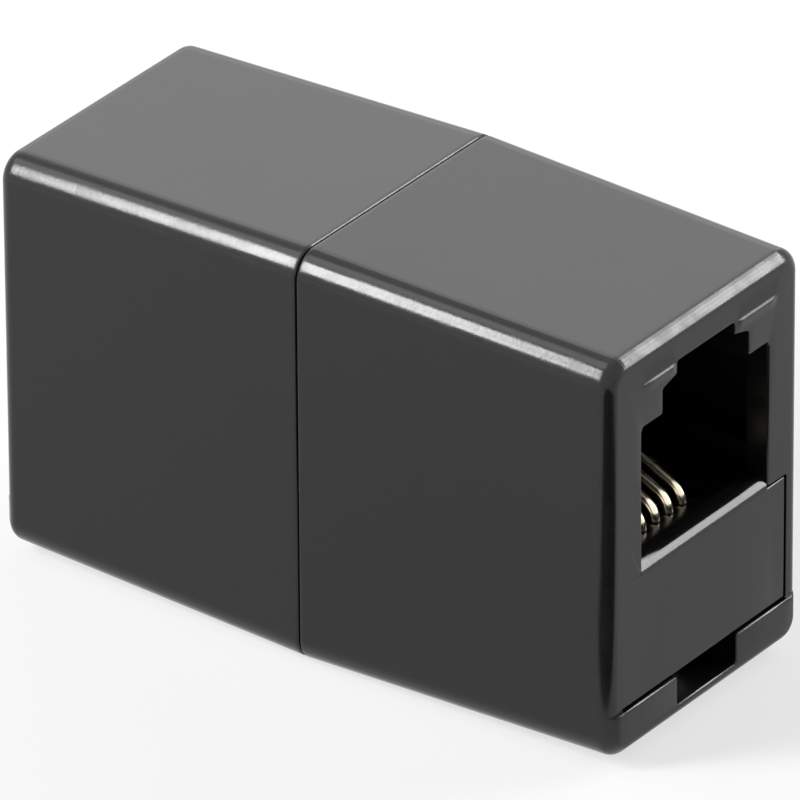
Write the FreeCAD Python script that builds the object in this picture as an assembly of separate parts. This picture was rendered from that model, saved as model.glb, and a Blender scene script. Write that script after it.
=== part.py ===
import FreeCAD, Part
import math
import os

from FreeCAD import Vector

# Inline coupler for two six-position telephone plugs, with four contact wires.
# Frame: X along the coupler, Z up, origin under the seam on the surface that it stands on.
# Millimetres and degrees. Every size below can be changed by itself.

# Socket opening in each end wall, sized for the plug and its latch
OPENING_WIDTH = 9.75
OPENING_HEIGHT = 6.98
LATCH_WIDTH = 6.6
LATCH_HEIGHT = 1.27
SHOULDER_RISE = 0.29
TAB_SLOT_WIDTH = 4.4
TAB_SLOT_HEIGHT = 0.63
PLUG_DEPTH = 12.0
LEAD_IN_RADIUS = 0.15

# Housing half
SIDE_DRAFT = 0.95
ROOF_DRAFT = 1.48
SIDE_WALL = 1.0
BOTTOM_WALL = 0.9
TOP_WALL = 1.35
TOP_WEB = 1.76
END_WALL = 1.2
GUIDE_DEPTH = 1.485
EDGE_RADIUS = 1.3
END_RADIUS = 0.68
SEAM_CHAMFER = 0.08
BRIDGE_RISE = 0.1
BRIDGE_MARGIN = 0.3
RAIL_RISE = 0.15
RAIL_HEIGHT = 1.49
NOTCH_WIDTH = 4.6
WINDOW_HEIGHT = 6.47
RIB_THICKNESS = 0.9
RIB_CLEARANCE = 0.1
CATCH_HEIGHT = 1.1
CATCH_LAND = 0.5
CATCH_RAMP = 1.4
CATCH_WIDTH = 3.8

# Contact carrier
FIT = 0.1
PLATE_THICKNESS = 1.2
LIP_RISE = 0.59
LIP_RADIUS = 0.68
LIP_LAND = 0.35
LIP_FIT = 0.03
SHELF_THICKNESS = 2.2
SKIRT_THICKNESS = 1.0
BULKHEAD_THICKNESS = 1.6
BULKHEAD_SPACING = 7.4
SPINE_THICKNESS = 1.2
HOOK_LENGTH = 1.2
HOOK_ROOT = 1.2
HOOK_NOSE = 0.5

# Contact wires and the comb that holds them
POSITIONS = 6
CONTACTS = 4
CONTACT_PITCH = 1.02
WIRE_DIAMETER = 0.5
WIRE_SIDES = 12
WIRE_PLAY = 0.07
WIRE_SLOPE = 26.5
WIRE_SPRING_BEND = 1.0
WIRE_RISE = 0.59
WIRE_FOOT_BEND = 0.9
WIRE_LEG_GAP = 0.97
WIRE_TIP_ENTRY = 0.8
COMB_DEPTH = 1.1
COMB_HEADROOM = 0.5
GROOVE_DEPTH = 0.55
RUN_GROOVE_DEPTH = 0.4

# Lengths along X, from the seam plane to the end
bulkhead_inner_x = BULKHEAD_SPACING / 2
bulkhead_outer_x = bulkhead_inner_x + BULKHEAD_THICKNESS
end_x = bulkhead_outer_x + PLUG_DEPTH
skin_x = end_x - RAIL_RISE
bridge_x = skin_x + BRIDGE_RISE
end_wall_x = skin_x - END_WALL
plate_face_x = skin_x
plate_back_x = plate_face_x - PLATE_THICKNESS
wire_leg_x = plate_back_x - WIRE_LEG_GAP - WIRE_DIAMETER / 2
wire_tip_x = bulkhead_outer_x - WIRE_TIP_ENTRY

# Heights, stacked from the floor of the housing to its roof at the end
roof_lean = math.tan(math.radians(ROOF_DRAFT))
roof_taper = end_x * roof_lean
floor_z = roof_taper + BOTTOM_WALL
rail_z = floor_z + RAIL_HEIGHT
window_z = rail_z + WINDOW_HEIGHT
shelf_z = window_z - FIT
lip_z = shelf_z + LIP_RISE
ceiling_z = lip_z + OPENING_HEIGHT
latch_z = ceiling_z + LATCH_HEIGHT
shoulder_z = latch_z + SHOULDER_RISE
slot_z = shoulder_z + TAB_SLOT_HEIGHT
seam_height = slot_z + TOP_WEB + roof_taper
shelf_under_z = shelf_z - SHELF_THICKNESS
run_z = shelf_under_z + RUN_GROOVE_DEPTH - WIRE_PLAY - WIRE_DIAMETER / 2

# Half widths, from the plug outwards
side_lean = math.tan(math.radians(SIDE_DRAFT))
side_taper = end_x * side_lean
opening_y = OPENING_WIDTH / 2
window_y = opening_y + GUIDE_DEPTH
seam_half_width = window_y + SIDE_WALL + side_taper
lip_y = opening_y - LIP_FIT
carrier_y = window_y - FIT
slit = WIRE_DIAMETER + 2 * WIRE_PLAY

# Overlap that lets joined shapes share volume before they become one solid
BITE = 0.2


def block(x0, x1, y0, y1, z0, z1):
    return Part.makeBox(x1 - x0, y1 - y0, z1 - z0, Vector(x0, y0, z0))


def end_prism(outline, x0, x1):
    """A (y, z) outline carried from x0 to x1."""
    points = [Vector(x0, y, z) for y, z in outline]
    return Part.Face(Part.makePolygon(points + points[:1])).extrude(Vector(x1 - x0, 0, 0))


def side_prism(outline, half_width):
    """An (x, z) outline carried across the coupler, equally to both sides."""
    points = [Vector(x, -half_width, z) for x, z in outline]
    return Part.Face(Part.makePolygon(points + points[:1])).extrude(Vector(0, 2 * half_width, 0))


def mirrored_outline(right_side):
    """A (y, z) outline from its right-hand half, listed from bottom to top."""
    return right_side + [(-y, z) for y, z in reversed(right_side)]


def both_sides(shape):
    """A shape and its mirror image across the middle plane y = 0."""
    return [shape, shape.mirror(Vector(0, 0, 0), Vector(0, 1, 0))]


def union(shapes):
    return shapes[0].fuse(shapes[1:]).removeSplitter()


def row_of(count):
    """Places across the coupler for a centred row of contacts."""
    return [(i - (count - 1) / 2) * CONTACT_PITCH for i in range(count)]


def tapered_block(x0, x1, side, floor, roof):
    """A block of flat faces that lean in with the draft, set in from the outer skin by the given walls."""
    y0, y1 = (seam_half_width - x * side_lean - side for x in (x0, x1))
    low0, low1 = (x * roof_lean + floor for x in (x0, x1))
    high0, high1 = (seam_height - x * roof_lean - roof for x in (x0, x1))
    wedge = Part.makeWedge(-y0, x0, low0, low1, -y1, y0, x1, high0, high1, y1)
    return wedge.rotated(Vector(0, 0, 0), Vector(0, 0, 1), -90)


def rounded_block(reach_x):
    """The drafted outside of one half as far as reach_x, with wide round long edges and a finer round at its end."""
    raw = tapered_block(0, reach_x, 0, 0, 0)
    rounded = raw.makeFillet(EDGE_RADIUS, [e for e in raw.Edges if e.BoundBox.XLength > reach_x / 2])
    return rounded.makeFillet(END_RADIUS, [e for e in rounded.Edges if e.BoundBox.XMin > reach_x - SEAM_CHAMFER])


def outer_skin():
    """The moulded outside of one half: a seam bevel, a bridge raised over the opening, and a rail along the foot
    of the end, where the same rounded block reaches a little further."""
    walls = rounded_block(skin_x)
    bevelled = walls.makeChamfer(SEAM_CHAMFER, [e for e in walls.Edges if e.BoundBox.XMax < SEAM_CHAMFER])
    bridge_y = opening_y + BRIDGE_MARGIN
    bridge = block(skin_x - BITE, bridge_x, -bridge_y, bridge_y, ceiling_z, slot_z)
    foot = block(skin_x - END_RADIUS - BITE, end_x, -seam_half_width, seam_half_width, 0, rail_z)
    return union([bevelled, bridge, rounded_block(end_x).common(foot)])


def end_opening():
    """The single opening of an end wall: catch notch, carrier window, plug opening and latch steps."""
    outline = mirrored_outline([
        (NOTCH_WIDTH / 2, floor_z), (NOTCH_WIDTH / 2, rail_z),
        (window_y, rail_z), (window_y, window_z),
        (opening_y, window_z), (opening_y, ceiling_z),
        (LATCH_WIDTH / 2, ceiling_z), (LATCH_WIDTH / 2, latch_z),
        (TAB_SLOT_WIDTH / 2, shoulder_z), (TAB_SLOT_WIDTH / 2, slot_z),
    ])
    return end_prism(outline, end_wall_x - BITE, end_x + BITE)


def guide_ribs():
    """Ribs that steer the plug: two along each side wall, and one each side of the latch under the roof."""
    start_x = bulkhead_outer_x + RIB_CLEARANCE
    reach_x = end_wall_x + BITE
    wall_y = seam_half_width - start_x * side_lean - SIDE_WALL + BITE
    roof_z = seam_height - start_x * roof_lean - TOP_WALL + BITE
    guide_y = opening_y + RIB_CLEARANCE
    latch_y = LATCH_WIDTH / 2 + RIB_CLEARANCE
    low_z = lip_z + RIB_THICKNESS / 2
    high_z = ceiling_z - RIB_THICKNESS * 3 / 2
    ribs = []
    for z in (low_z, high_z):
        ribs += both_sides(block(start_x, reach_x, guide_y, wall_y, z, z + RIB_THICKNESS))
    ribs += both_sides(block(start_x, reach_x, latch_y, latch_y + RIB_THICKNESS,
                             ceiling_z + RIB_CLEARANCE, roof_z))
    return ribs


def catch():
    """The ramped catch on the housing floor, in line with the notch, that holds the carrier's hook."""
    face_x = plate_back_x - HOOK_LENGTH - FIT
    low_z = floor_z - BITE
    land_x = face_x - CATCH_LAND
    top_z = floor_z + CATCH_HEIGHT
    return side_prism([(face_x, low_z), (face_x, top_z), (land_x, top_z), (land_x - CATCH_RAMP, low_z)],
                      CATCH_WIDTH / 2)


def is_lead_in(box):
    """Whether an edge is one of the two upright front edges that the plug's body slides past."""
    beside_plug = abs(abs(box.Center.y) - opening_y) < SEAM_CHAMFER
    return beside_plug and box.XMin > skin_x - SEAM_CHAMFER and box.ZLength > OPENING_HEIGHT / 2


def housing_half():
    """One half of the housing, with its socket facing +X."""
    cavity = tapered_block(-BITE, end_wall_x, SIDE_WALL, BOTTOM_WALL, TOP_WALL)
    shell = outer_skin().cut(cavity).cut(end_opening())
    lead_in = [e for e in shell.Edges if is_lead_in(e.BoundBox)]
    shell = shell.makeFillet(LEAD_IN_RADIUS, lead_in)
    return union([shell, catch()] + guide_ribs())


def lip():
    """The rounded lip along the top of the front plate, which falls away to the shelf behind it."""
    trough_x = plate_face_x - LIP_RADIUS - LIP_LAND
    root_z = lip_z - LIP_RADIUS - BITE
    outline = [
        (trough_x - LIP_RISE, root_z), (plate_face_x, root_z), (plate_face_x, lip_z),
        (trough_x, lip_z), (trough_x - LIP_RISE, shelf_z),
    ]
    sharp = side_prism(outline, lip_y)
    nose = [e for e in sharp.Edges if e.BoundBox.XMin > plate_face_x - LIP_FIT and e.BoundBox.ZMin > lip_z - LIP_FIT]
    return sharp.makeFillet(LIP_RADIUS, nose)


def hook():
    """The carrier's hook under its front plate, which snaps behind the housing's catch."""
    tip_z = floor_z + FIT
    root_z = rail_z + FIT + HOOK_ROOT
    front_x = min(plate_back_x, end_wall_x) - FIT
    heel_x = plate_back_x - HOOK_LENGTH
    return side_prism([(plate_back_x + BITE, root_z), (plate_back_x + BITE, rail_z + FIT),
                       (front_x, rail_z + FIT), (heel_x + HOOK_NOSE, tip_z), (heel_x, tip_z), (heel_x, root_z)],
                      CATCH_WIDTH / 2)


def carrier_half():
    """The carrier from the middle to the +X end, before its slots are cut."""
    low_z = rail_z + FIT
    bulkhead_y = seam_half_width - bulkhead_outer_x * side_lean - SIDE_WALL - FIT
    bulkhead_top = seam_height - bulkhead_outer_x * roof_lean - TOP_WALL - FIT
    foot_z = bulkhead_outer_x * roof_lean + BOTTOM_WALL + FIT
    skirt_y = carrier_y - SKIRT_THICKNESS
    pieces = [
        block(0, plate_face_x, -carrier_y, carrier_y, shelf_under_z, shelf_z),
        block(plate_back_x, plate_face_x, -carrier_y, carrier_y, low_z, shelf_z),
        block(bulkhead_inner_x, bulkhead_outer_x, -bulkhead_y, bulkhead_y, shelf_under_z, bulkhead_top),
        block(0, bulkhead_inner_x + BITE, -SPINE_THICKNESS / 2, SPINE_THICKNESS / 2, shelf_z - BITE, bulkhead_top),
        hook(),
    ]
    pieces += both_sides(block(0, plate_back_x + BITE, skirt_y, carrier_y, low_z, shelf_under_z + BITE))
    pieces += both_sides(block(bulkhead_inner_x, bulkhead_outer_x, skirt_y, bulkhead_y, foot_z, shelf_under_z + BITE))
    lip_room = block(plate_face_x - LIP_RADIUS, plate_face_x + BITE, -lip_y, lip_y, lip_z - LIP_RADIUS, lip_z)
    return union([union(pieces).cut(lip_room), lip()])


def comb_cuts():
    """Slits of one carrier half for every contact position: front slots, grooves and the rear comb."""
    slot_front = wire_leg_x + slit / 2
    slot_rear = wire_leg_x - WIRE_FOOT_BEND - WIRE_DIAMETER
    comb_x = bulkhead_outer_x - COMB_DEPTH
    comb_top = tip_height() + WIRE_DIAMETER / 2 + COMB_HEADROOM
    cuts = []
    for y in row_of(POSITIONS):
        sides = (y - slit / 2, y + slit / 2)
        cuts += [
            block(slot_rear, slot_front, *sides, shelf_under_z - BITE, shelf_z + BITE),
            block(comb_x, slot_front, *sides, shelf_z - GROOVE_DEPTH, shelf_z + BITE),
            block(comb_x, bulkhead_outer_x + BITE, *sides, shelf_z - GROOVE_DEPTH, comb_top),
            block(-BITE, slot_front, *sides, shelf_under_z - BITE, shelf_under_z + RUN_GROOVE_DEPTH),
        ]
    return cuts


def contact_carrier():
    """The one-piece carrier: a deck from end to end, two front plates and a double bulkhead in the middle."""
    half = carrier_half().cut(comb_cuts())
    return union([half, half.mirror(Vector(0, 0, 0), Vector(1, 0, 0))])


def tip_height():
    """Height of a contact's free tip: the slope starts where, carried on, it meets the upright leg."""
    return shelf_z + WIRE_RISE + (wire_leg_x - wire_tip_x) * math.tan(math.radians(WIRE_SLOPE))


def rounded_path(corners, radii):
    """A path of straight runs joined by tangent arcs, with one radius for each inner corner."""
    edges = []
    start = corners[0]
    for before, corner, after, radius in zip(corners, corners[1:], corners[2:], radii):
        arrive = (corner - before).normalize()
        leave = (after - corner).normalize()
        reach = radius * math.tan(arrive.getAngle(leave) / 2)
        first = corner - arrive * reach
        last = corner + leave * reach
        inward = (leave - arrive).normalize()
        centre = corner + inward * math.hypot(radius, reach)
        edges += [Part.LineSegment(start, first).toShape(),
                  Part.Arc(first, centre - inward * radius, last).toShape()]
        start = last
    edges.append(Part.LineSegment(start, corners[-1]).toShape())
    return Part.Wire(edges)


def contact_wire(y):
    """One spring wire, nearly round: a sloping contact in each socket, joined by a run under the shelf."""
    right = [Vector(wire_tip_x, y, tip_height()), Vector(wire_leg_x, y, shelf_z + WIRE_RISE),
             Vector(wire_leg_x, y, run_z)]
    left = [Vector(-p.x, p.y, p.z) for p in reversed(right)]
    bends = [WIRE_SPRING_BEND, WIRE_FOOT_BEND]
    path = rounded_path(right + left, bends + bends[::-1])
    along = (right[1] - right[0]).normalize()
    ring = Part.Circle(right[0], along, WIRE_DIAMETER / 2).toShape().discretize(WIRE_SIDES + 1)
    return path.makePipe(Part.Face(Part.makePolygon(ring)))


def build():
    right = housing_half()
    nodes = {
        "housing_half_right": right,
        "housing_half_left": right.rotated(Vector(0, 0, 0), Vector(0, 0, 1), 180),
        "contact_carrier": contact_carrier(),
    }
    for number, y in enumerate(row_of(CONTACTS), 1):
        nodes[f"contact_wire_{number}"] = contact_wire(y)
    os.makedirs("parts", exist_ok=True)
    for name, shape in nodes.items():
        shape.exportStep(f"parts/{name}.step")
        box = shape.BoundBox
        print(f"{name}: {len(shape.Solids)} solid, valid {shape.isValid()}, {shape.Volume:.1f} mm3, "
              f"{box.XLength:.2f} x {box.YLength:.2f} x {box.ZLength:.2f} mm")


build()
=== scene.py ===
# %% [markdown]
# # A telephone inline coupler
# Two black moulded half shells meet at a seam. Each end has a stepped socket for a telephone plug, and
# inside it a contact carrier with a rounded lip and four gilded spring wires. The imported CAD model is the
# fixed frame: every piece below is made in metres, in place, around it.

import math

import bpy
import numpy as np
from mathutils import Matrix, Vector


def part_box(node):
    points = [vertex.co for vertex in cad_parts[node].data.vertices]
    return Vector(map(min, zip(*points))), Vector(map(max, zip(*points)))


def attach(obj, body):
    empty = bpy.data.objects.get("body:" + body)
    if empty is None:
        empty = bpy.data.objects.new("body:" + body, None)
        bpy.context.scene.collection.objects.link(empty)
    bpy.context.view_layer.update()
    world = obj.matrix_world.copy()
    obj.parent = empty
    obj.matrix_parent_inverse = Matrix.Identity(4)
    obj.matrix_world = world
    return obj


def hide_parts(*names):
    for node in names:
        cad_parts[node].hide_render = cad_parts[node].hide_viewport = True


MM = 0.001

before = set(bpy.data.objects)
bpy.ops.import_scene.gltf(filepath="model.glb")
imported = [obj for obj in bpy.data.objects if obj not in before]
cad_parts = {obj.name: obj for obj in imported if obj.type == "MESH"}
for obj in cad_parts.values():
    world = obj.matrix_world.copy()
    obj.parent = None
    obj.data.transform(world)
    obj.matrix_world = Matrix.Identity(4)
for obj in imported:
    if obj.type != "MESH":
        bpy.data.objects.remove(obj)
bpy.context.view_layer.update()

# %% [markdown]
# ## Camera
# The photograph is nearly a parallel view: a long lens, far away. The angles, the lens and the aim were
# fitted to the outline of the coupler. A shorter lens would make the long edges run together, which they
# hardly do.

# %% Camera
VIEW_AZIMUTH = math.radians(36.6)
VIEW_ELEVATION = math.radians(29.255)
VIEW_ROLL = math.radians(-0.352)
VIEW_DISTANCE = 655.64 * MM
VIEW_AIM = Vector((0.0, -0.014 * MM, 10.335 * MM))
AIM_RIGHT = 0.109 * MM
AIM_UP = 0.030 * MM
SENSOR = 36.0
LENS_PER_FRAME = 18.02


def view_axes(azimuth, elevation, roll):
    """Right, up and back of a camera that looks down at an elevation; its azimuth runs from -Y to +X."""
    level = math.cos(elevation)
    back = Vector((math.sin(azimuth) * level, -math.cos(azimuth) * level, math.sin(elevation)))
    right = Vector((math.cos(azimuth), math.sin(azimuth), 0.0))
    up = back.cross(right)
    turned_right = right * math.cos(roll) + up * math.sin(roll)
    turned_up = up * math.cos(roll) - right * math.sin(roll)
    return turned_right, turned_up, back


view_right, view_up, view_back = view_axes(VIEW_AZIMUTH, VIEW_ELEVATION, VIEW_ROLL)
camera = bpy.data.objects.new("photo_camera", bpy.data.cameras.new("photo_camera"))
camera.data.sensor_width = SENSOR
camera.data.sensor_fit = "HORIZONTAL"
camera.data.lens = SENSOR * LENS_PER_FRAME
camera.data.clip_start = 0.01
camera.data.clip_end = 20.0
turn = Matrix((view_right, view_up, view_back)).transposed().to_4x4()
place = VIEW_AIM + view_back * VIEW_DISTANCE + view_right * AIM_RIGHT + view_up * AIM_UP
camera.matrix_world = Matrix.Translation(place) @ turn
bpy.context.scene.collection.objects.link(camera)
bpy.context.scene.camera = camera
print("camera at", [round(v / MM, 1) for v in place], "mm, lens", round(camera.data.lens, 1), "mm")

# %% [markdown]
# ## Stage and light
# The coupler stands on a white table. Black plastic is seen mostly by what it mirrors, so each lamp is
# placed where one part of the shell mirrors it towards the camera: a wide screen behind for the top, a
# strip at the front left for the rounded long edge with a dimmer screen above it, and three strips at the
# back right along the arc which the rounded end edge and the lip mirror. The near upright edge would
# mirror only white table, so a dark card lies there, below the picture, to paint a dark reflection into
# that edge; it shows in mirrors alone and throws no shadow. The table glows a little for the rays that
# are seen, which keeps it white and its shadows pale without more light on the coupler.

# %% Stage
FLOOR_SIZE = 3.0
FLOOR_WHITE = 0.9
FLOOR_GLOW = 0.66


def node_material(name):
    """A new material with an empty node tree and an output node."""
    material = bpy.data.materials.new(name)
    material.use_nodes = True
    material.node_tree.nodes.clear()
    output = material.node_tree.nodes.new("ShaderNodeOutputMaterial")
    return material, material.node_tree, output


def matte_shader(tree, tone):
    """A dull shader of one grey tone."""
    matte = tree.nodes.new("ShaderNodeBsdfDiffuse")
    matte.inputs["Color"].default_value = (tone, tone, tone, 1.0)
    return matte


def grid_mesh(name, points):
    """A mesh of quads over an array of points (rows, columns, 3)."""
    rows, columns = points.shape[:2]
    index = np.arange(rows * columns).reshape(rows, columns)
    quads = np.stack([index[:-1, :-1], index[:-1, 1:], index[1:, 1:], index[1:, :-1]], -1).reshape(-1, 4)
    mesh = bpy.data.meshes.new(name)
    mesh.from_pydata(points.reshape(-1, 3).tolist(), [], quads.tolist())
    return mesh


def floor_sheet(size):
    """A flat square grid through the origin, facing up."""
    steps = np.linspace(-size / 2, size / 2, 3)
    x, y = np.meshgrid(steps, steps)
    return grid_mesh("white_table", np.stack([x, y, np.zeros_like(x)], -1))


def seen_rays(tree):
    """1 for rays that show a surface or the room: straight to the camera, mirrored, or through glass."""
    path = tree.nodes.new("ShaderNodeLightPath")
    seen = path.outputs["Is Camera Ray"]
    for kind in ("Is Glossy Ray", "Is Transmission Ray"):
        either = tree.nodes.new("ShaderNodeMath")
        either.operation = "MAXIMUM"
        tree.links.new(seen, either.inputs[0])
        tree.links.new(path.outputs[kind], either.inputs[1])
        seen = either.outputs[0]
    return seen


floor_material, tree, output = node_material("white_table")
matte = matte_shader(tree, FLOOR_WHITE)
glow = tree.nodes.new("ShaderNodeEmission")
glow.inputs["Strength"].default_value = 1.0
brighter = tree.nodes.new("ShaderNodeMixShader")
brighter.inputs[0].default_value = FLOOR_GLOW
choose = tree.nodes.new("ShaderNodeMixShader")
tree.links.new(matte.outputs[0], brighter.inputs[1])
tree.links.new(glow.outputs[0], brighter.inputs[2])
tree.links.new(seen_rays(tree), choose.inputs[0])
tree.links.new(matte.outputs[0], choose.inputs[1])
tree.links.new(brighter.outputs[0], choose.inputs[2])
tree.links.new(choose.outputs[0], output.inputs["Surface"])
table = bpy.data.objects.new("white_table", floor_sheet(FLOOR_SIZE))
table.data.materials.append(floor_material)
bpy.context.scene.collection.objects.link(table)
print("table:", FLOOR_SIZE, "m wide")

# %% Dark card, a painted dark reflection
CARD_START = 21.3 * MM
CARD_END = 140 * MM
CARD_MIDDLE = 17.5 * MM
CARD_HALF_WIDTH = 21 * MM
CARD_LIFT = 0.1 * MM
CARD_BLACK = 0.02


def card_sheet():
    """A flat rectangle on the table, from CARD_START to CARD_END on the way towards the camera."""
    toward = np.array([math.sin(VIEW_AZIMUTH), -math.cos(VIEW_AZIMUTH)])
    across = np.array([math.cos(VIEW_AZIMUTH), math.sin(VIEW_AZIMUTH)])
    sides = (CARD_MIDDLE - CARD_HALF_WIDTH, CARD_MIDDLE + CARD_HALF_WIDTH)
    away, side = np.meshgrid((CARD_START, CARD_END), sides)
    flat = away[..., None] * toward + side[..., None] * across
    return grid_mesh("painted_reflection_card", np.concatenate([flat, np.full((2, 2, 1), CARD_LIFT)], -1))


card_material, tree, output = node_material("painted_reflection_card")
tree.links.new(matte_shader(tree, CARD_BLACK).outputs[0], output.inputs["Surface"])
card = bpy.data.objects.new("painted_reflection_card", card_sheet())
card.data.materials.append(card_material)
# Painted dark reflection: the card is hidden from the camera, from diffuse light and from shadows, so it
# only darkens what mirrors it, the near upright edge most.
card.visible_camera = False
card.visible_diffuse = False
card.visible_shadow = False
bpy.context.scene.collection.objects.link(card)
print("card:", round(2 * CARD_HALF_WIDTH / MM), "by", round((CARD_END - CARD_START) / MM), "mm")

# %% World
ROOM_LIGHT = 0.06

world = bpy.data.worlds.new("white_room")
world.use_nodes = True
bpy.context.scene.world = world
tree = world.node_tree
tree.nodes.clear()
room = tree.nodes.new("ShaderNodeBackground")
room.inputs["Strength"].default_value = ROOM_LIGHT
white = tree.nodes.new("ShaderNodeBackground")
white.inputs["Strength"].default_value = 1.0
choose = tree.nodes.new("ShaderNodeMixShader")
output = tree.nodes.new("ShaderNodeOutputWorld")
for background in (room, white):
    background.inputs["Color"].default_value = (1.0, 1.0, 1.0, 1.0)
tree.links.new(seen_rays(tree), choose.inputs[0])
tree.links.new(room.outputs[0], choose.inputs[1])
tree.links.new(white.outputs[0], choose.inputs[2])
tree.links.new(choose.outputs[0], output.inputs["Surface"])
bpy.context.scene.view_settings.view_transform = "Standard"
print("world:", world.name)

# %% Lamps
LAMP_DISTANCE = 400 * MM
UPRIGHT = (0, 0, 1)
LONG_EDGE_ARC = (0, 0.643, 0.766)
STRIP_WIDTH = 0.045
STRIP_HEIGHT = 0.17
RIGHT_STRIPS = (("high", 80, 11.0), ("middle", 49, 15.5), ("low", 17, 15.0))
ARC_Y = 0.70
ARC_RADIUS = math.sqrt(1 - ARC_Y ** 2)


def lamp(name, toward, along, width, height, radiance):
    """A soft rectangular lamp in the direction toward, facing the coupler, as bright as radiance.

    Its height lies as nearly along the second direction as it can.
    """
    light = bpy.data.lights.new(name, "AREA")
    light.shape = "RECTANGLE"
    light.size = width
    light.size_y = height
    light.energy = radiance * math.pi * width * height
    item = bpy.data.objects.new(name, light)
    back = Vector(toward).normalized()
    right = Vector(along).cross(back).normalized()
    turn = Matrix((right, back.cross(right), back)).transposed().to_4x4()
    place = Vector((0.0, 0.0, VIEW_AIM.z)) + back * LAMP_DISTANCE
    item.matrix_world = Matrix.Translation(place) @ turn
    bpy.context.scene.collection.objects.link(item)


lamp("back_screen", toward=(-0.52, 0.70, 0.49), along=UPRIGHT, width=0.30, height=0.24, radiance=1.25)
lamp("upper_screen", toward=(-0.52, -0.18, 0.83), along=UPRIGHT, width=0.17, height=0.20, radiance=2.0)
lamp("front_strip", toward=(-0.52, -0.654, 0.549), along=LONG_EDGE_ARC,
     width=0.09, height=0.24, radiance=28.0)
for part, angle, radiance in RIGHT_STRIPS:
    x, z = math.cos(math.radians(angle)), math.sin(math.radians(angle))
    toward = (ARC_RADIUS * x, ARC_Y, ARC_RADIUS * z)
    lamp("right_strip_" + part, toward, (-z, 0, x), STRIP_WIDTH, STRIP_HEIGHT, radiance)

# %% [markdown]
# ## Finishes
# The shell is near-black plastic from a finely sparked mould: satin, a little uneven in its gloss, and
# slightly paler and smoother where fingers rub its edges. All patterns read Object coordinates, which are
# metres here, so a scale of 4500 makes grains of about a fifth of a millimetre. The rubbed edges come
# from the "edge" mask that each mesh carries from its own rows, because it fits the real edges better
# than any noise could.

# %% Moulded plastic
GRAIN_SCALE = 4500.0
CLOUD_SCALE = 260.0
RUB_SCALE = 900.0
GRAIN_DEPTH = 6.0e-6
GRAIN_STRENGTH = 0.4
CLOUD_CHANGE = 0.012
RUB_LEAST = 0.45
RUB_SMOOTHING = 0.09
NOISE_LOW = 0.3
NOISE_HIGH = 0.7
PLASTIC_IOR = 1.44
HOUSING_BLACK = (0.005, 0.005, 0.0052)
HOUSING_RUBBED = (0.016, 0.016, 0.0164)
HOUSING_ROUGHNESS = 0.25
CARRIER_BLACK = (0.008, 0.008, 0.008)
CARRIER_RUBBED = (0.016, 0.016, 0.016)
CARRIER_ROUGHNESS = 0.2


def pattern(tree, scale, detail):
    """A noise on Object coordinates."""
    coordinates = tree.nodes.new("ShaderNodeTexCoord")
    noise = tree.nodes.new("ShaderNodeTexNoise")
    noise.inputs["Scale"].default_value = scale
    noise.inputs["Detail"].default_value = detail
    tree.links.new(coordinates.outputs["Object"], noise.inputs["Vector"])
    return noise.outputs["Fac"]


def stretched(tree, value, low, high):
    """The middle part of a noise, stretched to the range from low to high."""
    node = tree.nodes.new("ShaderNodeMapRange")
    node.inputs["From Min"].default_value = NOISE_LOW
    node.inputs["From Max"].default_value = NOISE_HIGH
    node.inputs["To Min"].default_value = low
    node.inputs["To Max"].default_value = high
    tree.links.new(value, node.inputs["Value"])
    return node.outputs["Result"]


def combined(tree, operation, first, second):
    """Two values joined by a Math node."""
    node = tree.nodes.new("ShaderNodeMath")
    node.operation = operation
    tree.links.new(first, node.inputs[0])
    tree.links.new(second, node.inputs[1])
    return node.outputs[0]


def between(tree, part, low, high):
    """A colour ramp from one colour to another."""
    ramp = tree.nodes.new("ShaderNodeValToRGB")
    ramp.color_ramp.elements[0].color = (*low, 1.0)
    ramp.color_ramp.elements[1].color = (*high, 1.0)
    tree.links.new(part, ramp.inputs["Fac"])
    return ramp.outputs["Color"]


def add_bump(tree, surface, height, strength, depth):
    """Lets a pattern stand out from a surface as bump."""
    bump = tree.nodes.new("ShaderNodeBump")
    bump.inputs["Strength"].default_value = strength
    bump.inputs["Distance"].default_value = depth
    tree.links.new(height, bump.inputs["Height"])
    tree.links.new(bump.outputs["Normal"], surface.inputs["Normal"])


def moulded_plastic(name, colour, rubbed_colour, roughness):
    """Satin plastic: fine grain as bump, cloudy roughness, and edges that are rubbed paler and smoother."""
    material, tree, output = node_material(name)
    surface = tree.nodes.new("ShaderNodeBsdfPrincipled")
    surface.inputs["IOR"].default_value = PLASTIC_IOR
    edge = tree.nodes.new("ShaderNodeAttribute")
    edge.attribute_name = "edge"
    spots = stretched(tree, pattern(tree, RUB_SCALE, 3.0), RUB_LEAST, 1.0)
    rub = combined(tree, "MULTIPLY", edge.outputs["Fac"], spots)
    clouds = pattern(tree, CLOUD_SCALE, 3.0)
    cloud = stretched(tree, clouds, roughness - CLOUD_CHANGE, roughness + CLOUD_CHANGE)
    smoother = stretched(tree, rub, 0.0, RUB_SMOOTHING)
    tree.links.new(combined(tree, "SUBTRACT", cloud, smoother), surface.inputs["Roughness"])
    tree.links.new(between(tree, rub, colour, rubbed_colour), surface.inputs["Base Color"])
    add_bump(tree, surface, pattern(tree, GRAIN_SCALE, 2.0), GRAIN_STRENGTH, GRAIN_DEPTH)
    tree.links.new(surface.outputs[0], output.inputs["Surface"])
    return material


housing_plastic = moulded_plastic("housing_plastic", HOUSING_BLACK, HOUSING_RUBBED, HOUSING_ROUGHNESS)
carrier_plastic = moulded_plastic("carrier_plastic", CARRIER_BLACK, CARRIER_RUBBED, CARRIER_ROUGHNESS)
print("plastics:", housing_plastic.name, carrier_plastic.name)

# %% [markdown]
# The contacts are drawn wire with a thin gold plating. Drawing leaves fine lines along the wire, so their
# noise is stretched along it: the wire runs along X and Z, and Y stays fine.

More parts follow.
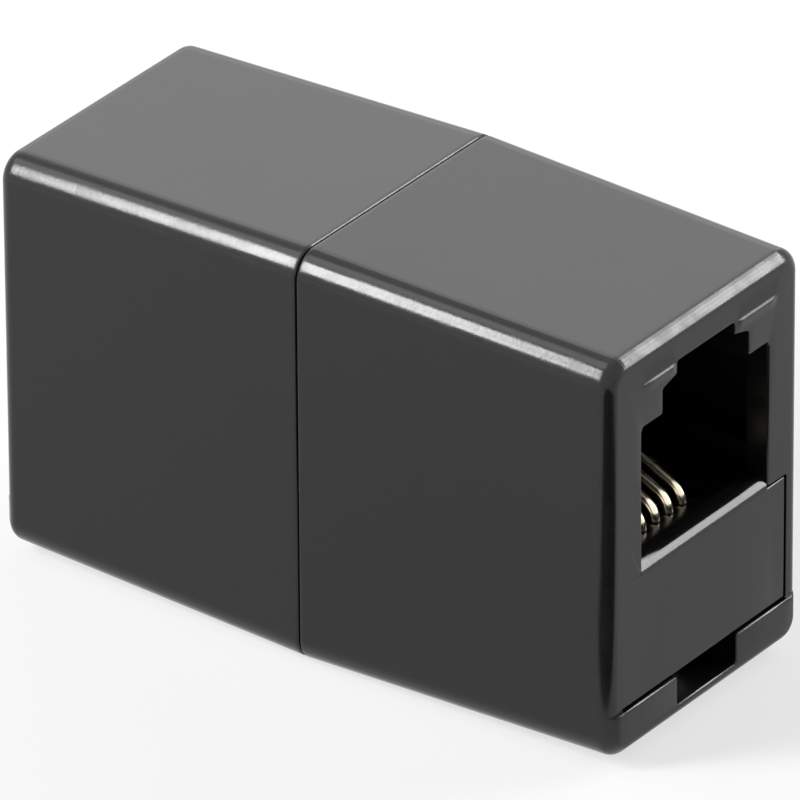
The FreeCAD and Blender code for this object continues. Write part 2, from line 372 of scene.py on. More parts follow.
# %% Gilded wire
GOLD = (0.90, 0.79, 0.55)
PALE_GOLD = (0.98, 0.92, 0.76)
TONE_SCALE = 700.0
LINE_SCALES = (400.0, 20000.0, 400.0)
LINE_ROUGHNESS = (0.16, 0.30)
LINE_DEPTH = 1.0e-6
LINE_STRENGTH = 0.2


def gilded_wire(name):
    """Metal with fine lines along X and Z in its roughness and bump, and a slow change of colour."""
    material, tree, output = node_material(name)
    surface = tree.nodes.new("ShaderNodeBsdfPrincipled")
    surface.inputs["Metallic"].default_value = 1.0
    coordinates = tree.nodes.new("ShaderNodeTexCoord")
    mapping = tree.nodes.new("ShaderNodeMapping")
    mapping.inputs["Scale"].default_value = LINE_SCALES
    lines = tree.nodes.new("ShaderNodeTexNoise")
    lines.inputs["Scale"].default_value = 1.0
    lines.inputs["Detail"].default_value = 3.0
    tree.links.new(coordinates.outputs["Object"], mapping.inputs["Vector"])
    tree.links.new(mapping.outputs["Vector"], lines.inputs["Vector"])
    tree.links.new(stretched(tree, lines.outputs["Fac"], *LINE_ROUGHNESS), surface.inputs["Roughness"])
    tones = between(tree, pattern(tree, TONE_SCALE, 2.0), GOLD, PALE_GOLD)
    tree.links.new(tones, surface.inputs["Base Color"])
    add_bump(tree, surface, lines.outputs["Fac"], LINE_STRENGTH, LINE_DEPTH)
    tree.links.new(surface.outputs[0], output.inputs["Surface"])
    return material


gilding = gilded_wire("gilded_wire")
print("metal:", gilding.name)

# %% [markdown]
# ## Rounded outlines
# Moulded plastic has no sharp corners, so every outline here is a run of straight lines joined by small
# arcs. One helper rounds the corners and also gives the outward direction at each point; moving points
# along it grows or shrinks the outline evenly, which is how a rounded edge is made. A bevel modifier
# could round the edges too, but it can't hold a different radius on each of them.

# %% Rounded corners
ARC_STEPS = 5


def rounded_corners(corners, radii, steps=ARC_STEPS):
    """Arcs in place of the inner corners of a run of points, and the direction to the right along them.

    Where the run turns by an angle t, its arc starts radius * tan(t / 2) before the corner and has its
    centre one radius to the side that the run turns to. The first and the last corner only give directions.
    """
    corners = np.asarray(corners, float)
    step = np.diff(corners, axis=0)
    step /= np.linalg.norm(step, axis=1, keepdims=True)
    arrive, leave = step[:-1], step[1:]
    turn = np.arctan2(arrive[:, 0] * leave[:, 1] - arrive[:, 1] * leave[:, 0], (arrive * leave).sum(1))
    radii = np.broadcast_to(radii, turn.shape)
    bend = (radii * np.sign(turn))[:, None]
    start = corners[1:-1] - arrive * (radii * np.tan(np.abs(turn) / 2))[:, None]
    centre = start + bend * np.stack([-arrive[:, 1], arrive[:, 0]], 1)
    heading = np.arctan2(arrive[:, 1], arrive[:, 0])[:, None] + turn[:, None] * np.linspace(0, 1, steps)
    normal = np.stack([np.sin(heading), -np.cos(heading)], -1)
    points = centre[:, None] + bend[:, None] * normal
    return points.reshape(-1, 2), normal.reshape(-1, 2)


def rounded_outline(corners, radii, steps=ARC_STEPS):
    """A closed outline, anticlockwise, with rounded corners: its points and its outward directions."""
    return rounded_corners([corners[-1], *corners, corners[0]], radii, steps)


def quarter(steps):
    """A quarter turn in equal steps: sine, cosine, and a mask that is 1 in the middle and 0 at the ends."""
    turn = np.linspace(0, math.pi / 2, steps)
    return np.sin(turn), np.cos(turn), np.sin(2 * turn)


def mirrored(right_side):
    """A whole outline from its right-hand half, listed from bottom to top."""
    return [*right_side, *[(-y, z) for y, z in reversed(right_side)]]


# %% Pieces from grids
SHARP_ANGLE = math.radians(38)


def band(points, wrap_rows=False, capped=False):
    """The faces of a tube: a grid whose columns close round, and whose rows are open, capped or closed."""
    rows, columns = points.shape[:2]
    index = np.arange(rows * columns).reshape(rows, columns)
    ends = [index[0, ::-1].tolist(), index[-1].tolist()] if capped else []
    if wrap_rows:
        index = np.concatenate([index, index[:1]], 0)
    index = np.concatenate([index, index[:, :1]], 1)
    quads = np.stack([index[:-1, :-1], index[:-1, 1:], index[1:, 1:], index[1:, :-1]], -1)
    return quads.reshape(-1, 4).tolist() + ends


def turned_half_round(points):
    """The same points turned by half a turn about the upright axis, for the other end of the coupler."""
    return points * np.array([-1.0, -1.0, 1.0])


def make_piece(name, tubes, material, node):
    """One object in place of a CAD node, from closed tubes in millimetres: (points, edge mask, faces)."""
    points, masks, faces, start = [], [], [], 0
    for grid, mask, quads in tubes:
        flat = grid.reshape(-1, 3)
        points.append(flat)
        masks.append(np.broadcast_to(mask, grid.shape[:2]).ravel())
        faces += [[corner + start for corner in face] for face in quads]
        start += len(flat)
    mesh = bpy.data.meshes.new(name)
    mesh.from_pydata((np.concatenate(points) * MM).tolist(), [], faces)
    edge = mesh.attributes.new("edge", "FLOAT", "POINT")
    edge.data.foreach_set("value", np.concatenate(masks).astype(np.float32))
    mesh.shade_smooth()
    mesh.set_sharp_from_angle(angle=SHARP_ANGLE)
    mesh.materials.append(material)
    piece = bpy.data.objects.new(name, mesh)
    bpy.context.scene.collection.objects.link(piece)
    flat_faces_first = piece.modifiers.new("flat_faces_first", "WEIGHTED_NORMAL")
    flat_faces_first.keep_sharp = True
    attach(piece, "root")
    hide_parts(node)
    print(name, "has", len(mesh.vertices), "points and", len(mesh.polygons), "faces")


BAR_ROUND = 0.06
BAR_STEPS = 3


def bar(axis, corners, start, stop, radius=BAR_ROUND):
    """A closed bar: an outline carried along one axis, with rounded long edges and rounded end rims.

    The outline lies across the axis, in the order (y, z), (z, x) or (x, y). Near an end it shrinks by
    radius * (1 - sin) while the distance from the end grows by radius * (1 - cos) of the same quarter turn.
    """
    outline, outward = rounded_outline(corners, radius, BAR_STEPS)
    sine, cosine, mask = quarter(BAR_STEPS)
    shrink = radius * np.concatenate([1 - sine, 1 - sine[::-1]])
    along = np.concatenate([start + radius * (1 - cosine), stop - radius * (1 - cosine[::-1])])
    ring = outline - shrink[:, None, None] * outward
    along = np.broadcast_to(along[:, None], ring.shape[:2])
    grid = np.roll(np.stack([along, ring[..., 0], ring[..., 1]], -1), axis, axis=-1)
    return grid, np.concatenate([mask, mask])[:, None], band(grid, capped=True)


def box_outline(low_a, high_a, low_b, high_b):
    """The four corners of a rectangle, anticlockwise."""
    return [(low_a, low_b), (high_a, low_b), (high_a, high_b), (low_a, high_b)]

# %% [markdown]
# ## Housing half
# Each half is one moulding: four walls that lean in towards the end, so that it leaves its mould, and an
# end wall with a stepped opening. From the seam, one closed outline can be followed out along the walls,
# over the rounded end, across the bridge and the proud rail, into the opening and back along the inside.
# So the whole shell is a single grid: columns go round the coupler, rows follow that way. Cutting the
# opening with a Boolean would be shorter, but it leaves no control of the small radii that make the
# bright lines in the photograph.

# %% Sizes of the housing
housing_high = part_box("housing_half_right")[1] / MM
END_X = housing_high.x
SKIN_X = END_X - 0.15
BRIDGE_RISE = 0.08
WALL_X = SKIN_X - 1.2

SIDE_LEAN = math.tan(math.radians(0.95))
ROOF_LEAN = math.tan(math.radians(1.48))
SEAM_HALF_WIDTH = housing_high.y
SEAM_HEIGHT = housing_high.z
SIDE_WALL = 1.0
BOTTOM_WALL = 0.9
TOP_WALL = 1.35

FLOOR_Z = END_X * ROOF_LEAN + BOTTOM_WALL
RAIL_Z = FLOOR_Z + 1.49
WINDOW_Z = RAIL_Z + 6.47
SHELF_Z = WINDOW_Z - 0.1
LIP_Z = SHELF_Z + 0.59
CEILING_Z = LIP_Z + 6.98
LATCH_Z = CEILING_Z + 1.27
SHOULDER_Z = LATCH_Z + 0.29
SLOT_Z = SHOULDER_Z + 0.63

NOTCH_Y = 2.3
WINDOW_Y = 6.36
OPENING_Y = 4.875
LATCH_Y = 3.3
SLOT_Y = 2.2
BRIDGE_Y = OPENING_Y + 0.85
LAND_Y = 6.43
LAND_FOOT_Z = END_X * ROOF_LEAN + 0.72
levels = (FLOOR_Z, RAIL_Z, WINDOW_Z, LIP_Z, CEILING_Z, LATCH_Z, SLOT_Z)
print("levels in mm:", [round(z, 2) for z in levels])

# %% Outlines of the housing
EDGE_RADIUS = 1.3
EDGE_STEPS = 11
LAND_CORNER = 0.1
OPENING_CORNER = 0.14
CLOSE_CORNER = 0.03
CAVITY_CORNER = 0.05
CAVITY_STEPS = 3
MIDDLE_Z = RAIL_Z + 0.15
SUPPORT = 0.15


def leaning_box(x, side, floor, roof, radius, steps):
    """The rounded rectangle of the leaning walls at x, set in from the outer skin by the given walls."""
    half_width = SEAM_HALF_WIDTH - x * SIDE_LEAN - side
    low = x * ROOF_LEAN + floor
    high = SEAM_HEIGHT - x * ROOF_LEAN - roof
    return rounded_outline(box_outline(-half_width, half_width, low, high), radius, steps)


def outer_outline(x):
    return leaning_box(x, 0, 0, 0, EDGE_RADIUS, EDGE_STEPS)


def cavity_outline(x):
    return leaning_box(x, SIDE_WALL, BOTTOM_WALL, TOP_WALL, CAVITY_CORNER, CAVITY_STEPS)


land_outline = rounded_outline(mirrored([
    (LAND_Y, LAND_FOOT_Z), (LAND_Y, WINDOW_Z), (BRIDGE_Y, CEILING_Z), (BRIDGE_Y, SLOT_Z),
]), LAND_CORNER)
opening_outline = rounded_outline(mirrored([
    (NOTCH_Y, FLOOR_Z), (NOTCH_Y, RAIL_Z), (WINDOW_Y, RAIL_Z), (WINDOW_Y, WINDOW_Z),
    (OPENING_Y, WINDOW_Z), (OPENING_Y, CEILING_Z), (LATCH_Y, CEILING_Z), (LATCH_Y, LATCH_Z),
    (SLOT_Y, SHOULDER_Z), (SLOT_Y, SLOT_Z),
]), [*[OPENING_CORNER] * 16, *[CLOSE_CORNER] * 2, *[OPENING_CORNER] * 2])


def bearing(outline):
    """The angle of each outline point about a middle point inside the opening, growing round it."""
    return np.unwrap(np.arctan2(outline[:, 1] - MIDDLE_Z, outline[:, 0]))


def cross(a, b):
    return a[..., 0] * b[..., 1] - a[..., 1] * b[..., 0]


def places_on(outline, angles):
    """Where rays from the middle point meet a closed outline, as fractional indices into its points.

    A ray r meets the side from a to b at the fraction t where a + t * (b - a) is parallel to r.
    """
    own = bearing(outline)
    turned = own[0] + (angles - own[0]) % (2 * math.pi)
    first = np.searchsorted(own, turned, side="right") - 1
    start = outline[first] - (0, MIDDLE_Z)
    side = outline[(first + 1) % len(outline)] - outline[first]
    ray = np.stack([np.cos(angles), np.sin(angles)], -1)
    return first + np.clip(-cross(start, ray) / cross(side, ray), 0, 1)


def at_places(values, places):
    """Values at fractional indices round a closed outline."""
    low = np.floor(places).astype(int) % len(values)
    part = (places % 1)[:, None]
    return values[low] * (1 - part) + values[(low + 1) % len(values)] * part


print("the opening has", len(opening_outline[0]), "points and the land", len(land_outline[0]))

# %% Columns of the housing
LEDGE_ROUND = 0.06
LEDGE_ROWS = 4
LEDGE_STEP = 0.02
SNAP = 0.0012
BRIDGE_PLACES = (-5.2, -4.0, -2.6, -2.25, 2.3, 2.7, 5.0, 5.6)
BRIDGE_STEP = 0.1

# The rail ends in a ledge on both sides: x falls from rail to skin while z climbs this rounded step.
sine, cosine, mask = quarter(LEDGE_ROWS)
ledge_z = RAIL_Z + LEDGE_ROUND * (sine - 1)
ledge_fall = LEDGE_ROUND * (1 - cosine)
side_y = SEAM_HALF_WIDTH - SKIN_X * SIDE_LEAN
step_z = np.append(ledge_z, RAIL_Z + LEDGE_STEP)
ledge_right = np.column_stack([np.full_like(step_z, side_y), step_z])
ledge_left = ledge_right[::-1] * (-1, 1)
bridge_y = np.arange(BRIDGE_PLACES[-1], BRIDGE_PLACES[0], -BRIDGE_STEP)
bridge_points = np.column_stack([bridge_y, np.full_like(bridge_y, SLOT_Z)])

# Columns close beside the rounded long edges keep the flat sides flat in the light. Angles are snapped to
# small steps, because two columns that nearly touch would make faces too thin to shade.
beside_edges = leaning_box(SKIN_X, 0, 0, 0, EDGE_RADIUS + SUPPORT, 2)[0]
every_outline = (outer_outline(SKIN_X)[0], cavity_outline(WALL_X)[0], land_outline[0], opening_outline[0])
needed = (*every_outline, beside_edges, ledge_right, ledge_left, bridge_points)
angles = np.concatenate([bearing(points) % (2 * math.pi) for points in needed])
columns = np.unique((angles / SNAP).round()) * SNAP
outer_places, cavity_places, land_places, opening_places = (places_on(o, columns) for o in every_outline)
print("the housing grid has", len(columns), "columns")

# %% Levels of the housing
SLOT_MARGIN = 0.2
LEAD_IN = 0.15
MOUTH_ROUND = 0.08
WINDOW_ROUND = 0.03
CLOSE_ROUND = 0.005
BRIDGE_SHARES = (0, 1, 1, 0, 0, 1, 1, 0)
BRIDGE_EDGE = 0.08
BRIDGE_FALL = 0.6


def smooth_step(value):
    """0 below 0, 1 above 1, and a smooth S between them: t * t * (3 - 2 * t)."""
    t = np.clip(value, 0, 1)
    return t * t * (3 - 2 * t)


outward = at_places(outer_outline(0)[1], outer_places)
outer_start = at_places(outer_outline(0)[0], outer_places)
outer_lean = at_places(outer_outline(1)[0], outer_places) - outer_start
opening, opening_outward = (at_places(v, opening_places) for v in opening_outline)
land = at_places(land_outline[0], land_places)
corner_mask = np.clip(4 * np.abs(outward[:, 0] * outward[:, 1]), 0, 1) ** 2

# Each column reaches the rail or the skin, and above the latch slot it needs a strip of skin.
side_z = (outer_start + SKIN_X * outer_lean)[:, 1]
reach = np.where(side_z < RAIL_Z + LEDGE_STEP / 2, END_X - np.interp(side_z, ledge_z, ledge_fall), SKIN_X)
over_slot = opening[:, 1] > SLOT_Z - OPENING_CORNER / 2
land = land + np.outer(np.where(over_slot, SLOT_MARGIN, 0), (0, 1))


def bridge_height(yz):
    """The bridge beside the latch slot: a crisp upper edge, then a smooth fall towards the opening."""
    along = smooth_step(np.interp(yz[:, 0], BRIDGE_PLACES, BRIDGE_SHARES))
    depth = SLOT_Z - yz[:, 1]
    rise = smooth_step(depth / BRIDGE_EDGE)
    fall = 1 - smooth_step((depth - BRIDGE_EDGE) / BRIDGE_FALL)
    return BRIDGE_RISE * along * rise * fall


# The plug slides past the two upright sides of the opening, so they have the widest edge.
beside_plug = np.abs(np.abs(opening[:, 0]) - OPENING_Y) < OPENING_CORNER
beside_plug &= (opening[:, 1] > WINDOW_Z + LEAD_IN) & (opening[:, 1] < CEILING_Z - LEAD_IN)
beside_carrier = np.abs(opening[:, 0]) > WINDOW_Y - OPENING_CORNER
close_fit = (opening[:, 0] < -OPENING_Y - CLOSE_CORNER) & (opening[:, 1] > RAIL_Z + CLOSE_CORNER)
close_fit &= opening[:, 1] < WINDOW_Z + CLOSE_CORNER
mouth_round = np.where(beside_plug, LEAD_IN, np.where(beside_carrier, WINDOW_ROUND, MOUTH_ROUND))
mouth_round = np.where(close_fit, CLOSE_ROUND, mouth_round)[:, None]
print("mouth rounded by", mouth_round.min(), "to", mouth_round.max(), "mm")

# %% Rows of the housing
SEAM_GAP = 0.03
SEAM_TOUCH = 0.001
SEAM_DEPTH = 0.4
SEAM_ROUND = 0.1
SEAM_STEPS = 4
END_RADIUS = 0.68
END_STEPS = 13
MOUTH_STEPS = 6
RAIL_FADE = 10
LAND_PART = 0.15
WALL_ROWS = 6
FACE_STEPS = (0.02, 0.04, 0.06, 0.08, 0.12, 0.2, 0.35, 0.5, 0.7)
FACE_LIMIT = 0.9


def outer_at(x):
    """The outer outline at x, one place along the coupler for all columns or one for each."""
    return outer_start + np.reshape(x, (-1, 1)) * outer_lean


def housing_rows():
    """Every row of the shell as (x, outline, edge mask), from the seam round the end and back inside.

    A rounded edge is a quarter turn: the outline follows one of sine and cosine, and x follows the other.
    """
    groove = outer_at(0) - SEAM_DEPTH * outward
    rows = [(SEAM_TOUCH, groove, 0), (SEAM_GAP, groove, 0)]
    rim = outer_at(SEAM_GAP + SEAM_ROUND)
    for sine, cosine, mask in zip(*quarter(SEAM_STEPS)):
        rows.append((SEAM_GAP + SEAM_ROUND * (1 - cosine), rim - SEAM_ROUND * (1 - sine) * outward, mask))
    fillet_x = SKIN_X - END_RADIUS
    along_wall = np.linspace(SEAM_GAP + SEAM_ROUND + SUPPORT, fillet_x - SUPPORT, WALL_ROWS)
    for x in along_wall:
        rows.append((x, outer_at(x), corner_mask))
    for sine, cosine, mask in zip(*quarter(END_STEPS)):
        x = fillet_x + END_RADIUS * sine + (reach - SKIN_X) * sine ** RAIL_FADE
        yz = outer_at(fillet_x) - END_RADIUS * (1 - cosine) * outward
        rows.append((x, yz, np.maximum(mask, corner_mask * cosine)))
    rounded = outer_at(fillet_x) - END_RADIUS * outward
    mouth = opening + mouth_round * opening_outward
    low_land = rounded + LAND_PART * (mouth - rounded)
    upper = smooth_step((land[:, 1:] - WINDOW_Z) / (CEILING_Z - WINDOW_Z))
    face = low_land + upper * (land - low_land)
    rows.append((reach, face, 0))
    inward = mouth - face
    room = np.linalg.norm(inward, axis=1)
    for step in FACE_STEPS:
        yz = face + inward * np.minimum(step / room, FACE_LIMIT)[:, None]
        rows.append((reach + bridge_height(yz), yz, 0))
    for sine, cosine, mask in zip(*quarter(MOUTH_STEPS)):
        x = reach - mouth_round[:, 0] * (1 - cosine)
        rows.append((x, opening + mouth_round * (1 - sine) * opening_outward, mask))
    rows.append((WALL_X, opening, 0))
    rows.append((WALL_X, at_places(cavity_outline(WALL_X)[0], cavity_places), 0))
    rows.append((SEAM_TOUCH, at_places(cavity_outline(0)[0], cavity_places), 0))
    return rows


def housing_shell():
    """The rows stacked into one grid of points (x, y, z), closed both ways, with its edge mask."""
    rows = housing_rows()
    grid = np.stack([np.column_stack([np.broadcast_to(x, len(columns)), yz]) for x, yz, mask in rows])
    masks = np.stack([np.broadcast_to(mask, len(columns)) for x, yz, mask in rows])
    return grid, masks, band(grid, wrap_rows=True)


# %% Ribs and catch inside the housing
RIB_START_X = 5.4
RIB_END_X = WALL_X + 0.2
RIB_THICKNESS = 0.9
RIB_GAP = 0.1
BITE = 0.2
CATCH_Y = 1.9
CATCH_FACE_X = WALL_X - 1.3
CATCH_LAND_X = CATCH_FACE_X - 0.5
CATCH_FOOT_X = CATCH_LAND_X - 1.4
CATCH_Z = FLOOR_Z + 1.1


def guide_ribs():
    """Bars that steer the plug: two along each side wall, and one on each side of the latch."""
    wall_y = SEAM_HALF_WIDTH - RIB_START_X * SIDE_LEAN - SIDE_WALL + BITE
    roof_z = SEAM_HEIGHT - RIB_START_X * ROOF_LEAN - TOP_WALL + BITE
    guide_y = OPENING_Y + RIB_GAP
    latch_y = LATCH_Y + RIB_GAP
    ribs = []
    for low in (LIP_Z + RIB_THICKNESS / 2, CEILING_Z - RIB_THICKNESS * 3 / 2):
        ribs.append(box_outline(guide_y, wall_y, low, low + RIB_THICKNESS))
        ribs.append(box_outline(-wall_y, -guide_y, low, low + RIB_THICKNESS))
    ribs.append(box_outline(latch_y, latch_y + RIB_THICKNESS, CEILING_Z + RIB_GAP, roof_z))
    ribs.append(box_outline(-latch_y - RIB_THICKNESS, -latch_y, CEILING_Z + RIB_GAP, roof_z))
    return [bar(0, rib, RIB_START_X, RIB_END_X) for rib in ribs]


def catch():
    """The ramped catch on the floor that holds the carrier's hook: an outline (z, x) carried across."""
    low = FLOOR_Z - BITE
    outline = [(low, CATCH_FOOT_X), (CATCH_Z, CATCH_LAND_X), (CATCH_Z, CATCH_FACE_X), (low, CATCH_FACE_X)]
    return bar(1, outline[::-1], -CATCH_Y, CATCH_Y)


right_half = [housing_shell(), *guide_ribs(), catch()]
left_half = [(turned_half_round(grid), mask, faces) for grid, mask, faces in right_half]
make_piece("housing_shell_right", right_half, housing_plastic, "housing_half_right")
make_piece("housing_shell_left", left_half, housing_plastic, "housing_half_left")

# %% [markdown]
# ## Contact carrier
# One black moulding slides into both halves. Its front plate closes the lower part of each opening and
# ends in a rounded lip, over which the plug slides. Behind the lip is a deck with six narrow slots for
# contacts, and in the middle stand two comb-like walls that stop the plug and hold the tips of the
# contacts. Deck and plate are one outline carried along the coupler while its top, its underside and its
# slots change; the walls are plain bars.

# %% Carrier
CARRIER_FIT = 0.1
CARRIER_Y = WINDOW_Y - CARRIER_FIT
LIP_Y = OPENING_Y - 0.03
PLATE_X = SKIN_X
PLATE_BACK_X = PLATE_X - 1.2
PLATE_ROUND = 0.08
TIGHT_FIT = 0.005
LOOSE_FIT = 0.15
PLATE_LOW_Z = RAIL_Z + CARRIER_FIT
UNDER_Z = SHELF_Z - 2.2
LIP_RADIUS = 0.68
LIP_LAND = 0.35
LIP_STEPS = 15
SKIRT = 1.0
HOOK_LENGTH = 1.2
HOOK_TOE = 0.5
HOOK_ROOT = 1.2
SPINE_HALF = 0.6
TOOTH_ROUND = 0.02
COMB_ROUND = 0.03

CONTACT_PITCH = 1.02
COMB_PLACES = 6
WIRE_SLANT = math.radians(26.5)
WIRE_RADIUS = 0.25
SLIT = 0.32
GROOVE = 0.55
RUN_GROOVE = 0.4
WIRE_LEG_X = PLATE_BACK_X - 0.97 - WIRE_RADIUS
SLOT_FRONT_X = WIRE_LEG_X + SLIT
SLOT_REAR_X = WIRE_LEG_X - 1.4
WALL_INNER_X = 3.7
WALL_OUTER_X = 5.3
WALL_TOP_Z = SEAM_HEIGHT - WALL_OUTER_X * ROOF_LEAN - TOP_WALL - CARRIER_FIT
COMB_X = WALL_OUTER_X - 1.1
WIRE_TIP_X = WALL_OUTER_X - 0.8
WIRE_CORNER_Z = SHELF_Z + 0.59
WIRE_TIP_Z = WIRE_CORNER_Z + (WIRE_LEG_X - WIRE_TIP_X) * math.tan(WIRE_SLANT)
COMB_Z = WIRE_TIP_Z + WIRE_RADIUS + 0.5

positions = (np.arange(COMB_PLACES) - (COMB_PLACES - 1) / 2) * CONTACT_PITCH


def grooves(places, low, high):
    """The corners of a row of square slots along a line, in the order of the places, from low to high."""
    towards = np.sign(places[-1] - places[0])
    sides = np.stack([places - towards * SLIT] * 2 + [places + towards * SLIT] * 2, -1).ravel()
    return np.stack([sides, np.tile([low, high, high, low], len(places))], -1)


def deck_outline(top, groove, under, run, low, right_corner, left_corner):
    """The cross-section of deck, lip and skirts at one place, anticlockwise from the right.

    The two upper corners are given as (half width, height), because the plate sits closer on its left.
    """
    skirt = CARRIER_Y - SKIRT
    upper_corners = (right_corner, left_corner)
    right, left = ([(skirt, low), (y, low), (y, z), (LIP_Y, z), (LIP_Y, top)] for y, z in upper_corners)
    left = [(-y, z) for y, z in reversed(left)]
    upper = grooves(positions[::-1], top, top - groove)
    lower = grooves(positions, under, under + run)
    return np.concatenate([right, upper, left, [(-skirt, under)], lower, [(skirt, under)]])


deck_sides = (PLATE_LOW_Z, (CARRIER_Y, SHELF_Z), (CARRIER_Y, SHELF_Z))


def deck(stations):
    """A deck outline carried along x: each station is x and the sizes of the outline there."""
    grid = np.stack([np.column_stack([np.full(len(ring), x), ring])
                     for x, ring in ((s[0], deck_outline(*s[1:])) for s in stations)])
    return grid, 0.0, band(grid, capped=True)


def lip_stations():
    """The front of the carrier: up the back of the lip, over its land and round its nose to the face."""
    trough_x = PLATE_X - LIP_RADIUS - LIP_LAND
    foot_x = trough_x - (LIP_Z - SHELF_Z)
    back_z = SHELF_Z + PLATE_BACK_X - foot_x
    plate = (PLATE_LOW_Z, (WINDOW_Y - LOOSE_FIT, SHELF_Z), (WINDOW_Y - TIGHT_FIT, WINDOW_Z - TIGHT_FIT))
    stations = [
        (SLOT_FRONT_X, SHELF_Z, 0, UNDER_Z, RUN_GROOVE, *deck_sides),
        (foot_x, SHELF_Z, 0, UNDER_Z, RUN_GROOVE, *deck_sides),
        (PLATE_BACK_X, back_z, 0, UNDER_Z, RUN_GROOVE, *deck_sides),
        (PLATE_BACK_X, back_z, 0, PLATE_LOW_Z, 0, *plate),
        (trough_x, LIP_Z, 0, PLATE_LOW_Z, 0, *plate),
    ]
    sine, cosine, mask = quarter(LIP_STEPS)
    nose_x = PLATE_X - LIP_RADIUS * (1 - sine)
    nose_z = LIP_Z - LIP_RADIUS * (1 - cosine)
    reach = np.clip(nose_x - (PLATE_X - PLATE_ROUND), 0, None)
    shrink = PLATE_ROUND - np.sqrt(PLATE_ROUND ** 2 - reach ** 2)
    for x, z, s in zip(nose_x, nose_z, shrink):
        right = (WINDOW_Y - LOOSE_FIT - s, SHELF_Z - s)
        left = (WINDOW_Y - TIGHT_FIT, WINDOW_Z - TIGHT_FIT)
        stations.append((x, z, 0, PLATE_LOW_Z + s, 0, PLATE_LOW_Z + s, right, left))
    return stations


def deck_teeth():
    """The bars of the deck between the slots that the contacts drop through."""
    edges = np.concatenate([positions - SLIT, positions + SLIT])
    edges.sort()
    outlines = [box_outline(a, b, UNDER_Z, SHELF_Z) for a, b in zip(edges[1:-1:2], edges[2::2])]
    inner, skirt = edges[-1], CARRIER_Y - SKIRT
    side = [
        (skirt, PLATE_LOW_Z), (CARRIER_Y, PLATE_LOW_Z), (CARRIER_Y, SHELF_Z),
        (inner, SHELF_Z), (inner, UNDER_Z), (skirt, UNDER_Z),
    ]
    other = [(-y, z) for y, z in reversed(side)]
    return [bar(0, o, SLOT_REAR_X, SLOT_FRONT_X, TOOTH_ROUND) for o in (*outlines, side, other)]


def stop_walls():
    """The double wall in the middle: solid towards the seam, a hanging comb towards the plug, and feet."""
    wall_y = SEAM_HALF_WIDTH - WALL_OUTER_X * SIDE_LEAN - SIDE_WALL - CARRIER_FIT
    foot_z = WALL_OUTER_X * ROOF_LEAN + BOTTOM_WALL + CARRIER_FIT
    comb = np.concatenate([[(-wall_y, SHELF_Z)], grooves(positions, SHELF_Z, COMB_Z),
                           [(wall_y, SHELF_Z), (wall_y, WALL_TOP_Z), (-wall_y, WALL_TOP_Z)]])
    skirt = CARRIER_Y - SKIRT
    return [
        bar(0, box_outline(-wall_y, wall_y, SHELF_Z, WALL_TOP_Z), WALL_INNER_X, COMB_X),
        bar(0, comb, COMB_X, WALL_OUTER_X, COMB_ROUND),
        bar(0, box_outline(skirt, wall_y, foot_z, SHELF_Z - BITE), WALL_INNER_X, WALL_OUTER_X),
        bar(0, box_outline(-wall_y, -skirt, foot_z, SHELF_Z - BITE), WALL_INNER_X, WALL_OUTER_X),
    ]


def hook():
    """The hook under the front plate that snaps behind the catch: an outline (z, x) carried across."""
    heel_x = PLATE_BACK_X - HOOK_LENGTH
    front_x = min(PLATE_BACK_X, WALL_X) - CARRIER_FIT
    tip_z = FLOOR_Z + CARRIER_FIT
    root_z = PLATE_LOW_Z + HOOK_ROOT
    outline = [
        (root_z, heel_x), (tip_z, heel_x), (tip_z, heel_x + HOOK_TOE), (PLATE_LOW_Z, front_x),
        (PLATE_LOW_Z, PLATE_BACK_X + BITE), (root_z, PLATE_BACK_X + BITE),
    ]
    return bar(1, outline, -CATCH_Y, CATCH_Y)


flat_deck = (SHELF_Z, 0, UNDER_Z, RUN_GROOVE, *deck_sides)
grooved_deck = (SHELF_Z, GROOVE, UNDER_Z, RUN_GROOVE, *deck_sides)
middle_deck = deck([(-COMB_X, *flat_deck), (COMB_X, *flat_deck)])
front_deck = deck([(COMB_X, *grooved_deck), (SLOT_REAR_X, *grooved_deck)])
front = [front_deck, deck(lip_stations()), *deck_teeth(), *stop_walls(), hook()]
back = [(turned_half_round(grid), mask, faces) for grid, mask, faces in front]
spine_outline = box_outline(-SPINE_HALF, SPINE_HALF, SHELF_Z - BITE, WALL_TOP_Z)
spine = bar(0, spine_outline, -WALL_INNER_X - BITE, WALL_INNER_X + BITE)
moulding = [middle_deck, spine, *front, *back]
make_piece("contact_carrier_moulding", moulding, carrier_plastic, "contact_carrier")
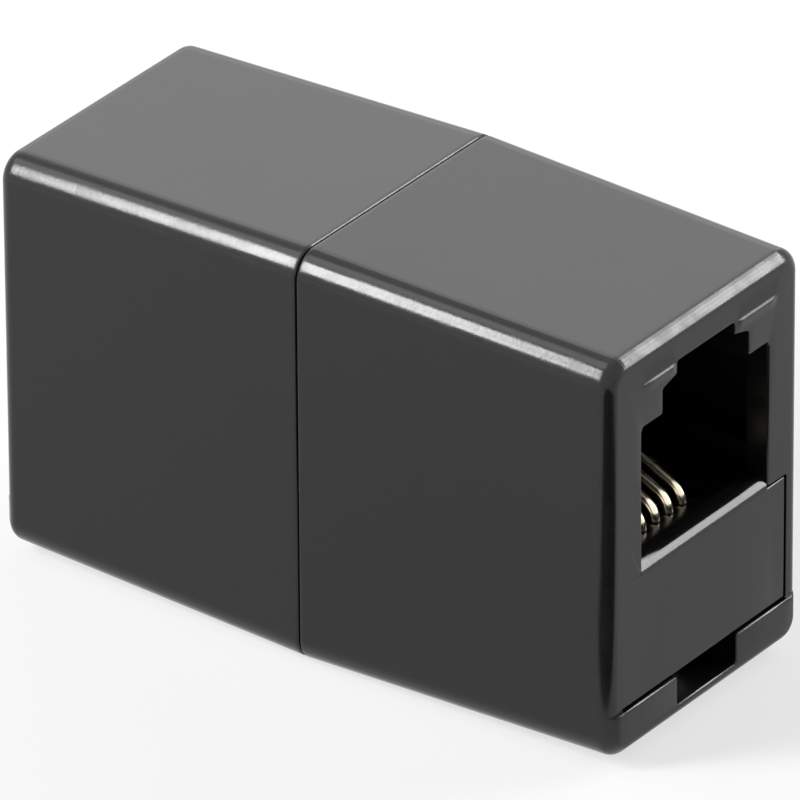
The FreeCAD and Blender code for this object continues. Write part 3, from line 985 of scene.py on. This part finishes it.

# %% [markdown]
# ## Contact wires
# Each contact is one drawn spring wire that serves both sockets: it rises from the deck at a slant, drops
# through its slot behind the lip and runs under the deck to the other end. A curve object with a bevel
# would do; here a circle is carried along a path of lines and arcs. The path lies in an upright plane,
# so the circle needs only the side direction of the path and the direction across it.

# %% Wires
WIRE_RUN_Z = UNDER_Z + RUN_GROOVE - 0.07 - WIRE_RADIUS
WIRE_SPRING_BEND = 1.0
WIRE_FOOT_BEND = 0.9
WIRE_SIDES = 20
BEND_STEPS = 12
TIP_STEPS = 5
TIP_LEAST = 0.02


def wire_path():
    """Points (x, z) of the wire from the right-hand tip to the left-hand one, with the bends as arcs."""
    right = [(WIRE_TIP_X, WIRE_TIP_Z), (WIRE_LEG_X, WIRE_CORNER_Z), (WIRE_LEG_X, WIRE_RUN_Z)]
    corners = [*right, *[(-x, z) for x, z in reversed(right)]]
    bends = [WIRE_SPRING_BEND, WIRE_FOOT_BEND, WIRE_FOOT_BEND, WIRE_SPRING_BEND]
    arcs, side = rounded_corners(corners, bends, BEND_STEPS)
    return np.concatenate([corners[:1], arcs, corners[-1:]]), np.concatenate([side[:1], side, side[-1:]])


def wire(y):
    """A tube round the path: path + radius * (cos * side - sin * across), with half-round tips."""
    path, side = wire_path()
    sine, cosine, mask = quarter(TIP_STEPS)
    along = np.stack([-side[:, 1], side[:, 0]], -1)
    first = path[0] + WIRE_RADIUS * (1 - sine)[:, None] * along[0]
    last = path[-1] - WIRE_RADIUS * (1 - sine[::-1])[:, None] * along[-1]
    path = np.concatenate([first, path[1:-1], last])
    first_side = np.repeat(side[:1], len(first), 0)
    last_side = np.repeat(side[-1:], len(last), 0)
    side = np.concatenate([first_side, side[1:-1], last_side])
    radius = np.full(len(path), WIRE_RADIUS)
    radius[:len(first)] *= np.clip(cosine[::-1], TIP_LEAST, 1)
    radius[-len(last):] *= np.clip(cosine, TIP_LEAST, 1)
    turn = np.linspace(0, 2 * math.pi, WIRE_SIDES, endpoint=False)
    ring = path[:, None] + (radius[:, None] * np.cos(turn))[..., None] * side[:, None]
    across = y + radius[:, None] * np.sin(turn)
    grid = np.stack([ring[..., 0], across, ring[..., 1]], -1)
    return grid, 0.0, band(grid, capped=True)


for number, y in enumerate(positions[1:5], 1):
    make_piece(f"spring_wire_{number}", [wire(y)], gilding, f"contact_wire_{number}")
